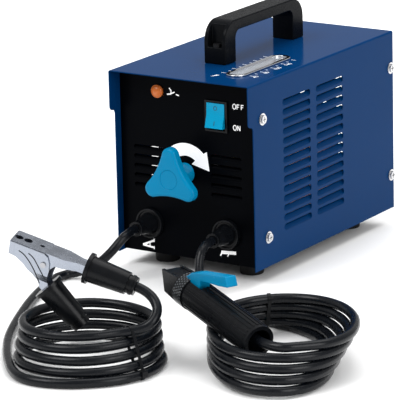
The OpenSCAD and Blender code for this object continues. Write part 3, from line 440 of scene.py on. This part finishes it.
def outline_around(circles, grow, count=28):
    """The line drawn tight around circles given as (x, y, radius), grow outside them."""
    spots = []
    for x, y, r in circles:
        for k in range(count):
            angle = 2 * math.pi * k / count
            spots.append((x + (r + grow) * math.cos(angle), y + (r + grow) * math.sin(angle)))
    spots.sort()

    def chain(row):
        kept = []
        for spot in row:
            while len(kept) > 1 and (
                (kept[-1][0] - kept[-2][0]) * (spot[1] - kept[-2][1])
                - (kept[-1][1] - kept[-2][1]) * (spot[0] - kept[-2][0])
            ) <= 0:
                kept.pop()
            kept.append(spot)
        return kept[:-1]

    return chain(spots) + chain(spots[::-1])


STRAP_WIDTH, STRAP_THICK = 3.2, 0.9
LOCK_SIZE = (3, 5.6, 5)


def strap(name, line, centre, angle):
    """A flat strap pulled around the strands that cross a half-plane at an angle, with its lock."""
    out = Vector((math.cos(angle), math.sin(angle), 0))
    side = Vector((-out.y, out.x, 0))
    middle = at(*centre, 0)
    circles = []
    for a, b in zip(line, line[1:]):
        before, after = (a - middle).dot(side), (b - middle).dot(side)
        if before * after <= 0 and before != after and (a - middle).dot(out) > 0:
            cross = a.lerp(b, before / (before - after))
            reach = (cross - middle).dot(out)
            if cross.z < 0.05 and reach < 0.12:  # a strand of the coil, not of the lead or tail
                circles.append((reach, cross.z, CABLE_D * MM / 2))
    made = bmesh.new()
    loops = []
    for grow in (0.0, STRAP_THICK * MM):
        ring = [(r, max(z, 0.0003 if grow else 0.0012)) for r, z in outline_around(circles, grow)]
        loops.append(ring)
    count = min(len(ring) for ring in loops)
    rows = []
    for offset in (-STRAP_WIDTH / 2, STRAP_WIDTH / 2):
        for ring in loops:
            step = len(ring) / count
            rows.append([
                made.verts.new(middle + out * ring[int(k * step)][0] + side * offset * MM
                               + Vector((0, 0, ring[int(k * step)][1])))
                for k in range(count)
            ])
    inner_low, outer_low, inner_high, outer_high = rows
    for k in range(count):
        n = (k + 1) % count
        for a, b in ((inner_low, outer_low), (outer_low, outer_high), (outer_high, inner_high),
                     (inner_high, inner_low)):
            made.faces.new((a[k], a[n], b[n], b[k]))
    reach, height, size = max(circles)
    lock = bmesh.ops.create_cube(made, size=1)["verts"]
    place = middle + out * (reach + size + 0.0012) + Vector((0, 0, height + 0.002))
    for vert in lock:
        local = vert.co.copy()
        vert.co = place + (out * local.x * LOCK_SIZE[0] + side * local.y * LOCK_SIZE[1]
                           + Vector((0, 0, local.z * LOCK_SIZE[2]))) * MM
    bmesh.ops.recalc_face_normals(made, faces=made.faces)
    mesh = bpy.data.meshes.new(name)
    made.to_mesh(mesh)
    made.free()
    obj = bpy.data.objects.new(name, mesh)
    bpy.context.scene.collection.objects.link(obj)
    bevel = obj.modifiers.new("edges", "BEVEL")
    bevel.width = 0.0002
    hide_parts("cable_ties")
    return keep(obj, MATERIALS["black_plastic"])


def helix(name, replaced, axes, centre, axis, radius, wire, turns, length, leg, body):
    """A coil spring in a tool's own axes, in millimetres, with a straight leg at its end."""
    axis = Vector(axis)
    u = axis.orthogonal().normalized()
    v = axis.cross(u)
    steps = round(turns * 20)
    points = [
        Vector(centre) + axis * length * (i / steps - 0.5)
        + (u * math.cos(math.tau * turns * i / steps) + v * math.sin(math.tau * turns * i / steps)) * radius
        for i in range(steps + 1)
    ]
    points.append(points[-1] + (points[-1] - points[-2]).normalized() * leg)
    obj = tube(name, [axes @ (p * MM) for p in points], wire * MM)
    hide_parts(replaced)
    return keep(obj, MATERIALS["spring_steel"], body)


# Printed marks --------------------------------------------------------------------

PANEL_Y = 9
PRINT_LIFT = 0.08
KNOB_X, KNOB_Z = -2, 104.5


def on_panel(x, z, lift):
    return at(x, PANEL_Y - lift, z)


def on_top(x, y, lift):
    return at(x, y, 0) + Vector((0, 0, cover_high.z + lift * MM))


def strip(points, width):
    """A band of even width along 2-D points, as quads that share their mitred corners."""
    sides = []
    for i, (x, y) in enumerate(points):
        ax, ay = points[max(i - 1, 0)]
        bx, by = points[min(i + 1, len(points) - 1)]
        if points[0] == points[-1] and i in (0, len(points) - 1):
            (ax, ay), (bx, by) = points[-2], points[1]
        run = math.hypot(bx - ax, by - ay)
        nx, ny = -(by - ay) / run * width / 2, (bx - ax) / run * width / 2
        sides.append(((x + nx, y + ny), (x - nx, y - ny)))
    return [[a[0], a[1], b[1], b[0]] for a, b in zip(sides, sides[1:])]


def marks(name, shapes, place, material):
    """Flat shapes for print and for painted glints and shade, each a list of 2-D corners, lifted a little
    one above another.
    """
    points, faces = [], []
    for i, shape in enumerate(shapes):
        lift = PRINT_LIFT + 0.008 * (i % 5)
        faces.append(tuple(range(len(points), len(points) + len(shape))))
        points.extend(place(*corner, lift) for corner in shape)
    return keep(new_mesh(name, points, faces), material)


def bow(cx, cy, r, start, end, count=24):
    return [(cx + r * math.cos(math.radians(start + (end - start) * k / count)),
             cy + r * math.sin(math.radians(start + (end - start) * k / count)))
            for k in range(count + 1)]


STROKES = {
    "O": [bow(0.5, 0.5, 0.5, 0, 360, 20)],
    "F": [[(0, 0), (0, 1)], [(0, 0.93), (0.75, 0.93)], [(0, 0.5), (0.6, 0.5)]],
    "N": [[(0.05, 0), (0.05, 1)], [(0.05, 1), (0.8, 0)], [(0.8, 0), (0.8, 1)]],
    "0": [bow(0.5, 0.5, 0.5, 0, 360, 20)],
    "1": [[(0.2, 0.75), (0.5, 1)], [(0.5, 0), (0.5, 1)]],
    "4": [[(0.7, 0), (0.7, 1)], [(0.7, 1), (0, 0.3)], [(0, 0.3), (0.95, 0.3)]],
    "8": [bow(0.5, 0.74, 0.26, 0, 360, 16), bow(0.5, 0.25, 0.26, 0, 360, 16)],
}


def writing(text, x, y, height, weight):
    """Generic letters and numbers as bands; x, y is the low left corner."""
    shapes = []
    for letter in text:
        for line in STROKES[letter]:
            shapes += strip([(x + px * height * 0.72, y + py * height) for px, py in line], weight)
        x += height * 0.98
    return shapes


def panel_marks():
    middle = KNOB_X - 1.5
    wide, narrow = 29.3, 16.6
    outer = bow(middle, KNOB_Z, wide, 152, 45)
    inner = bow(middle, KNOB_Z, narrow, 152, 50)
    arrow = [[outer[k], outer[k + 1], inner[k + 1], inner[k]] for k in range(len(outer) - 1)]
    tip = (KNOB_X + 25.7, KNOB_Z + 3.6)
    arrow += [[outer[-1], (KNOB_X + 23, KNOB_Z + 23.2), tip], [outer[-1], tip, inner[-1]],
              [inner[-1], tip, (KNOB_X + 5.2, KNOB_Z + 8.7)]]
    marks("turn_arrow", arrow, on_panel, PRINT_WHITE_PAINTED_GLOW)
    marks("switch_words", writing("OFF", 52.2, 174.6, 5, 0.9) + writing("ON", 52.4, 153.4, 5, 0.9),
          on_panel, PRINT_WHITE_PAINTED_GLOW)
    thermal = strip([(-21.3, 187.6), (-19, 185), (-19.5, 181.7), (-24, 181)], 1.3)
    thermal += strip([(-19.5, 181.9), (-15, 184)], 1.3) + strip([(-13.5, 181.8), (-10, 181)], 1.3)
    marks("overload_sign", thermal, on_panel, PRINT_WHITE_PAINTED_GLOW)
    clamp = strip([(-57.4, 22.8), (-43.5, 28.8)], 2.0) + strip([(-57.4, 22.8), (-43.5, 21.2)], 2.0)
    clamp += strip([(-49, 26.2), (-49, 22)], 1.2) + strip([(-44, 30.4), (-44, 27)], 1.2)
    clamp += strip([(-44, 22.8), (-44, 19.6)], 1.2)
    marks("clamp_sign", clamp, on_panel, PRINT_WHITE_PAINTED_GLOW)
    tongs = strip([(35.5, 27.4), (44, 28), (52.6, 28.6)], 3.4) + strip([(36.4, 27.6), (34.4, 23.6)], 1.5)
    tongs += strip([(44.4, 27), (42.6, 23.8)], 1.1)
    marks("holder_sign", tongs, on_panel, PRINT_WHITE_PAINTED_GLOW)


def scale_marks():
    shapes = []
    for k in range(9):
        y = 33 + 9.8 * k
        long = 5.2 if k % 2 == 0 else 3
        shapes += strip([(29.8 - long, y), (29.8, y)], 0.8) + strip([(57.2, y), (57.2 + long, y)], 0.8)
    shapes.append([(24, 14), (29.5, 22), (26, 22.5)])
    for text, y in (("40", 31), ("80", 51), ("100", 70), ("140", 90)):
        shapes += [[(66.5 - (v - y), y + (u - 64)) for u, v in quad]
                   for quad in writing(text, 62, y, 3.6, 0.7)]
    marks("scale_marks", shapes, on_top, PRINT_WHITE_PAINTED_GLOW)


def rocker_marks():
    """A ring on the upper end of the rocker and a bar on the lower one."""
    tilt = math.radians(-10)
    pivot = at(33.7, 10.5, 165.3)

    def place(x, z, lift):
        face_y = -4.9 - 1.5 * abs(z) / 12.4 - lift
        turned = Matrix.Rotation(tilt, 3, "X") @ Vector((x, face_y, z))
        return pivot + turned * MM

    shapes = strip(bow(0, 7.4, 1.8, 0, 360, 20), 0.7) + strip([(0, -9.5), (0, -5.4)], 0.8)
    obj = marks("rocker_marks", shapes, place, PRINT_DARK)
    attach(obj, "rocker")


# Knob, painted knurl glints and painted groove shade ---------------------------------------


def tool_frame(place, turns):
    """Axes of a tool that lies at a layout point, turned by degrees about X, Y and Z."""
    turned = Euler([math.radians(a) for a in turns], "XYZ").to_matrix().to_4x4()
    return Matrix.Translation(at(*place)) @ turned


# The knob: radius of a lobe, how far out its centre is, the waist between lobes, the whole
# plate's thickness and the radii of the rounded rim, the dished centre and the hub.
LOBE_R, LOBE_OUT, WAIST = 8.3, 23.5, 17.5
PLATE_THICK, RIM_R, DISH_R, HUB_R = 9.5, 3.2, 9.6, 10.5


def knob_edge(inset):
    """Outline of the knob's plate: three round lobes joined by hollow sides, drawn in by inset."""
    half = LOBE_OUT * math.sin(math.radians(60))
    fill = WAIST - LOBE_OUT / 2
    hollow = (half ** 2 + fill ** 2 - LOBE_R ** 2) / (2 * (LOBE_R - fill))
    side_at = WAIST + hollow
    turn = math.degrees(math.atan2(side_at * math.sin(math.radians(60)),
                                   side_at * math.cos(math.radians(60)) - LOBE_OUT))
    points = []
    for a in (90, 210, 330):
        for middle, centre, r, first, last in (
            (a, LOBE_OUT, LOBE_R - inset, a - turn, a + turn),
            (a + 60, side_at, hollow + inset, a + 180 + turn, a + 300 - turn),
        ):
            cx, cz = centre * math.cos(math.radians(middle)), centre * math.sin(math.radians(middle))
            points += bow(cx, cz, r, first, last, 14)[:-1]
    return points


def knob_skin():
    """The knob with its rim rounded, standing for the CAD knob: plate, rim, dished centre and hub."""
    low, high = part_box("knob")
    depth = (high.y - low.y) / MM
    middle = Vector(((low.x + high.x) / 2, low.y, high.z - (LOBE_OUT + LOBE_R) * MM))
    back_edge = 1.2
    rings = [(knob_edge(back_edge), PLATE_THICK), (knob_edge(0), PLATE_THICK - back_edge)]
    for k in range(7):
        angle = math.radians(15 * k)
        rings.append((knob_edge(RIM_R * (1 - math.cos(angle))), RIM_R * (1 - math.sin(angle))))
    count = len(rings[0][0])

    def round_ring(r):
        spots = []
        for x, z in rings[-1][0]:
            run = math.hypot(x, z)
            spots.append((x / run * r, z / run * r))
        return spots

    rings += [(round_ring(DISH_R + 0.5), 0.0), (round_ring(DISH_R), 0.5),
              (round_ring(DISH_R), 1.5), (round_ring(3), 1.5)]
    hub = [(round_ring(3), depth), (round_ring(HUB_R), depth), (round_ring(HUB_R), PLATE_THICK)]
    rings = hub + rings
    points = [middle + Vector((x, y, z)) * MM for ring, y in rings for x, z in ring]
    faces = []
    for row in range(len(rings) - 1):
        for k in range(count):
            n = (k + 1) % count
            faces.append((row * count + k, row * count + n, (row + 1) * count + n, (row + 1) * count + k))
    obj = new_mesh("knob_skin", points, faces)
    for face in obj.data.polygons:
        face.use_smooth = True
    split = obj.modifiers.new("creases", "EDGE_SPLIT")
    split.split_angle = math.radians(40)
    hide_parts("knob")
    return keep(obj, MATERIALS["blue_plastic"], "knob_and_spindle")


def small_parts():
    """The clamp's spring, dark bands of painted shade along the clamp's grooves, and light grey dots of
    painted glints for the knurl on the holder's collar.
    """
    clamp = tool_frame((27, -290, 107.5), (6, 19, 18.5))
    helix("clamp_coil_spring", "clamp_spring", clamp, (14, 0, -7), (0, 1, 0), 5, 1.7, 7, 12.6, 9,
          "welder")
    holder = tool_frame((93.9, -185.6, 69.4), (0, 10, -25))
    # Light grey dots for the knurl ridges on the holder's collar: painted glints, brighter than its black
    # plastic.
    glint_dots = []
    for row in range(5):
        for k in range(34):
            x, a = 47.4 + 2.5 * row, 360 / 34 * (k + row % 2 / 2)
            glint_dots.append([(x - 1, a), (x, a - 3.4), (x + 1, a), (x, a + 3.4)])
    marks("collar_knurl_glints", glint_dots, lambda x, a, lift: holder @ (Vector((
        x, 16.5 * math.sin(math.radians(a)), 16.5 * math.cos(math.radians(a)))) * MM), KNURL_GLINTS)
    # Dark bands on the clamp's zinc along its grooves: painted shade in the grooves.
    groove_shades = []
    for line in (
        [(-11.4, -2.2), (-5.7, -4), (2, -9.8), (9.5, -17.9), (15.4, -25.8)],
        [(-2, -1.2), (4, -4.2), (12.5, -12.9), (17.5, -18.3)],
    ):
        curve = [Vector((x, 0, z)) for x, z in line]
        groove_shades.append([(p.x, p.z) for p in smooth_line(curve, 1.5)])
    obj = marks("clamp_groove_shades", [band for line in groove_shades for band in strip(line, 1.0)],
                lambda x, z, lift: clamp @ (Vector((x, -13.5 - lift, z)) * MM), MATERIALS["black_plastic"])
    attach(obj, "clamp_lower_jaw")


# Stage -----------------------------------------------------------------------


def camera():
    """The photograph's view: from the front right, a little above, with a long lens."""
    turn, rise, roll = math.radians(33.02), math.radians(15.28), math.radians(-1.36)
    target = at(17.6, 0, 80.6)
    distance = 3.223
    back = Vector((math.sin(turn) * math.cos(rise), -math.cos(turn) * math.cos(rise), math.sin(rise)))
    right = Vector((math.cos(turn), math.sin(turn), 0))
    up = back.cross(right)
    tilted_right = math.cos(roll) * right + math.sin(roll) * up
    tilted_up = math.cos(roll) * up - math.sin(roll) * right
    data = bpy.data.cameras.new("camera")
    data.lens = 295.3
    data.sensor_width = 36
    data.clip_start = 0.1
    obj = bpy.data.objects.new("camera", data)
    turned = Matrix((tilted_right, tilted_up, back)).transposed().to_4x4()
    obj.matrix_world = Matrix.Translation(target + back * distance) @ turned
    bpy.context.scene.collection.objects.link(obj)
    bpy.context.scene.camera = obj


def soft_box(name, place, aim, size, power):
    """A large square lamp that looks at aim."""
    data = bpy.data.lights.new(name, "AREA")
    data.shape = "RECTANGLE"
    data.size, data.size_y = size
    data.energy = power
    obj = bpy.data.objects.new(name, data)
    obj.location = place
    obj.rotation_euler = (aim - place).to_track_quat("-Z", "Y").to_euler()
    bpy.context.scene.collection.objects.link(obj)
    return obj


def light():
    middle = at(60, 0, 80)
    soft_box("key", middle + Vector((-0.9, -1.6, 2.2)), middle, (1.6, 1.6), 46)
    soft_box("side", middle + Vector((2.4, -0.9, 1.1)), middle, (1.4, 1.8), 34)
    soft_box("over", middle + Vector((0.2, 0.6, 2.4)), middle, (2.0, 2.0), 30)
    far = soft_box("back", at(-300, 2200, 1800), at(-700, 1900, 0), (2.4, 2.4), 60)
    far.visible_glossy = False
    world = bpy.data.worlds.new("studio")
    world.use_nodes = True
    world.node_tree.nodes["Background"].inputs["Color"].default_value = (1.0, 1.0, 1.0, 1.0)
    world.node_tree.nodes["Background"].inputs["Strength"].default_value = 0.45
    bpy.context.scene.world = world
    view = bpy.context.scene.view_settings
    view.view_transform = "Standard"
    view.look = "None"


def floor():
    size = 6.0
    points = [(-size, -size, 0), (size, -size, 0), (size, size, 0), (-size, size, 0)]
    obj = new_mesh("floor", points, [(0, 1, 2, 3)])
    obj.data.materials.append(surface("floor_paper", (0.93, 0.93, 0.93), rough=0.9, cloud=0.01,
                                      grain=300, bump=0.02, level=0.1))


camera()
dress_frame()
cables()
small_parts()
knob_skin()
panel_marks()
scale_marks()
rocker_marks()
light()
floor()
